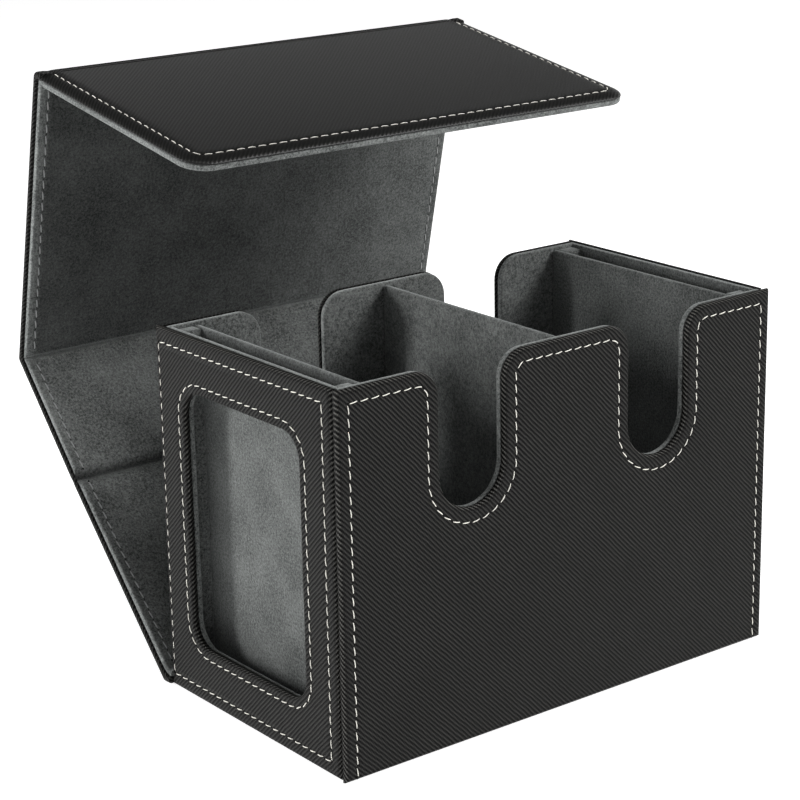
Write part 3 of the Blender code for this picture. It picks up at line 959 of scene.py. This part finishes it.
def top_fold():
    joint, before, after = JOINTS[2], ANGLES[1], ANGLES[2]
    middle = (before + after) / 2
    near, far = COVER_HALF, COVER_HALF - SKIN
    halves = (("back", "upper_back_panel", "top_fold", -1), ("front", "top_fold", "top_panel", 1))
    for label, a, b, side in halves:
        if side < 0:
            stations = [straight(joint, before, -SKIN_CLEAR, 0.0, SKIN)]
            stations += fan(joint, before, middle, near, far, 6, (before, after))
            spans = (0.0, 0.5)
        else:
            stations = fan(joint, middle, after, near, far, 6, (before, after))
            stations.append(straight(joint, after, SKIN_CLEAR, 0.0, SKIN))
            spans = (0.5, 1.0)
        strip = sweep("top_fold_leather_" + label, SKIN_SECTION, stations, [LEATHER_MAT])
        fold_blend(strip, a, b, joint, before, after, 2.0, side)
        if side < 0:
            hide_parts("top_fold_strip")
        inner = sweep("top_fold_suede_" + label, LINING_SECTION,
                      concave(joint, before, after, LINING_CLEAR, 1.7, 14, spans),
                      [SUEDE_BACK if side < 0 else SUEDE_TOP])
        fold_blend(inner, a, b, joint, before, after, 3.0, side)


def flap_fold():
    joint, before, after = JOINTS[3], ANGLES[2], ANGLES[3]
    bodies = ("top_panel", "flap_panel")
    stations = [straight(joint, before, -SKIN_CLEAR, 0.0, SKIN)]
    stations += fan(joint, before, after, COVER_HALF, COVER_HALF - SKIN, 14)
    stations.append(straight(joint, after, SKIN_CLEAR, 0.0, SKIN))
    strip = sweep("flap_fold_leather", SKIN_SECTION, stations, [LEATHER_MAT])
    fold_blend(strip, *bodies, joint, before, after, 2.2)
    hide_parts("flap_fold_strip")
    stations = concave(joint, before, after, LINING_CLEAR, 0.8, 28)
    inner = sweep("flap_fold_suede", LINING_SECTION, stations, [SUEDE_TOP])
    fold_blend(inner, *bodies, joint, before, after, 2.0)


def cover():
    la, lb, lc, ld = LENGTHS
    cover_panel("lower_back", 0, "lower_back_panel", (3.0, la - 1.6), (LINING_CLEAR, la - 4.0), False,
                LEATHER_MAT, SUEDE_BACK)
    cover_panel("upper_back", 1, "upper_back_panel", (1.6, lb - SKIN_CLEAR), (4.0, lb - LINING_CLEAR), False,
                LEATHER_MAT, SUEDE_BACK)
    cover_panel("top", 2, "top_panel", (SKIN_CLEAR, lc - SKIN_CLEAR), (LINING_CLEAR, lc - LINING_CLEAR),
                False, LEATHER_MAT, SUEDE_TOP)
    cover_panel("flap", 3, "flap_panel", (SKIN_CLEAR, ld), (LINING_CLEAR, ld), True, FLAP_MAT, SUEDE_MAT)
    hinge_strip()
    crease_strip()
    top_fold()
    flap_fold()


# ---------------------------------------------------------------- stage
def stage():
    """A white sweep: bright floor and horizon, dimmer overhead."""
    world = bpy.data.worlds.new("studio")
    world.use_nodes = True
    tree = world.node_tree
    coord = node(tree, "ShaderNodeTexCoord").outputs["Generated"]
    split = node(tree, "ShaderNodeSeparateXYZ")
    tree.links.new(coord, split.inputs[0])
    sky = ramp(tree, split.outputs[2], [(0.0, (1, 1, 1)), (0.22, (1, 1, 1)), (0.42, (WORLD_TOP,) * 3)])
    tree.links.new(sky, tree.nodes["Background"].inputs[0])
    tree.nodes["Background"].inputs[1].default_value = 1.0
    bpy.context.scene.world = world
    builder = Builder()
    corners = rect(-4, -4, 4, 4)
    ids = [builder.add(Vector((x, y, -0.0002))) for x, y in corners]
    builder.face(ids, [(0, 0)] * 4)
    made, tree, shader = new_material("floor_white", 0.9)
    shader.inputs["Base Color"].default_value = (0.8, 0.8, 0.8, 1)
    shader.inputs["Specular IOR Level"].default_value = 0.0
    shader.inputs["Emission Color"].default_value = (1, 1, 1, 1)
    shader.inputs["Emission Strength"].default_value = FLOOR_GLOW
    floor = builder.build("floor_plane", [made], False)


def area_light(name, location, target, size, power):
    data = bpy.data.lights.new(name, "AREA")
    data.shape = "RECTANGLE"
    data.size, data.size_y = size
    data.energy = power
    obj = bpy.data.objects.new(name, data)
    obj.location = location
    direction = Vector(target) - Vector(location)
    obj.rotation_euler = direction.to_track_quat("-Z", "Y").to_euler()
    bpy.context.scene.collection.objects.link(obj)


def lights():
    area_light("left_softbox", (-1.15, 0.75, 0.42), (0, 0, 0.06), (0.35, 0.5), LEFT_POWER)
    area_light("right_softbox", (0.95, -1.15, 1.10), (0, 0, 0.08), (0.8, 0.7), RIGHT_POWER)
    area_light("top_softbox", (-0.4, -0.3, 1.5), (0, 0, 0.1), (1.0, 1.0), TOP_POWER)


def camera():
    data = bpy.data.cameras.new("camera")
    data.sensor_width = 36.0
    data.lens = 105.69
    obj = bpy.data.objects.new("camera", data)
    right = Vector((0.790298, -0.612437, -0.018692))
    up = Vector((0.193967, 0.221127, 0.955761))
    back = -Vector((0.581210, 0.758962, -0.293549))
    turn = Matrix((right, up, back)).transposed().to_4x4()
    obj.matrix_world = Matrix.Translation(Vector((-449.83, -551.32, 307.92)) * MM) @ turn
    data.clip_start = 0.01
    bpy.context.scene.collection.objects.link(obj)
    bpy.context.scene.camera = obj
    bpy.context.scene.view_settings.view_transform = "Standard"


long_wall("front", -1)
long_wall("back", 1)
end_wall("left", -1)
end_wall("right", 1)
box_inside()
cover()
stage()
lights()
camera()
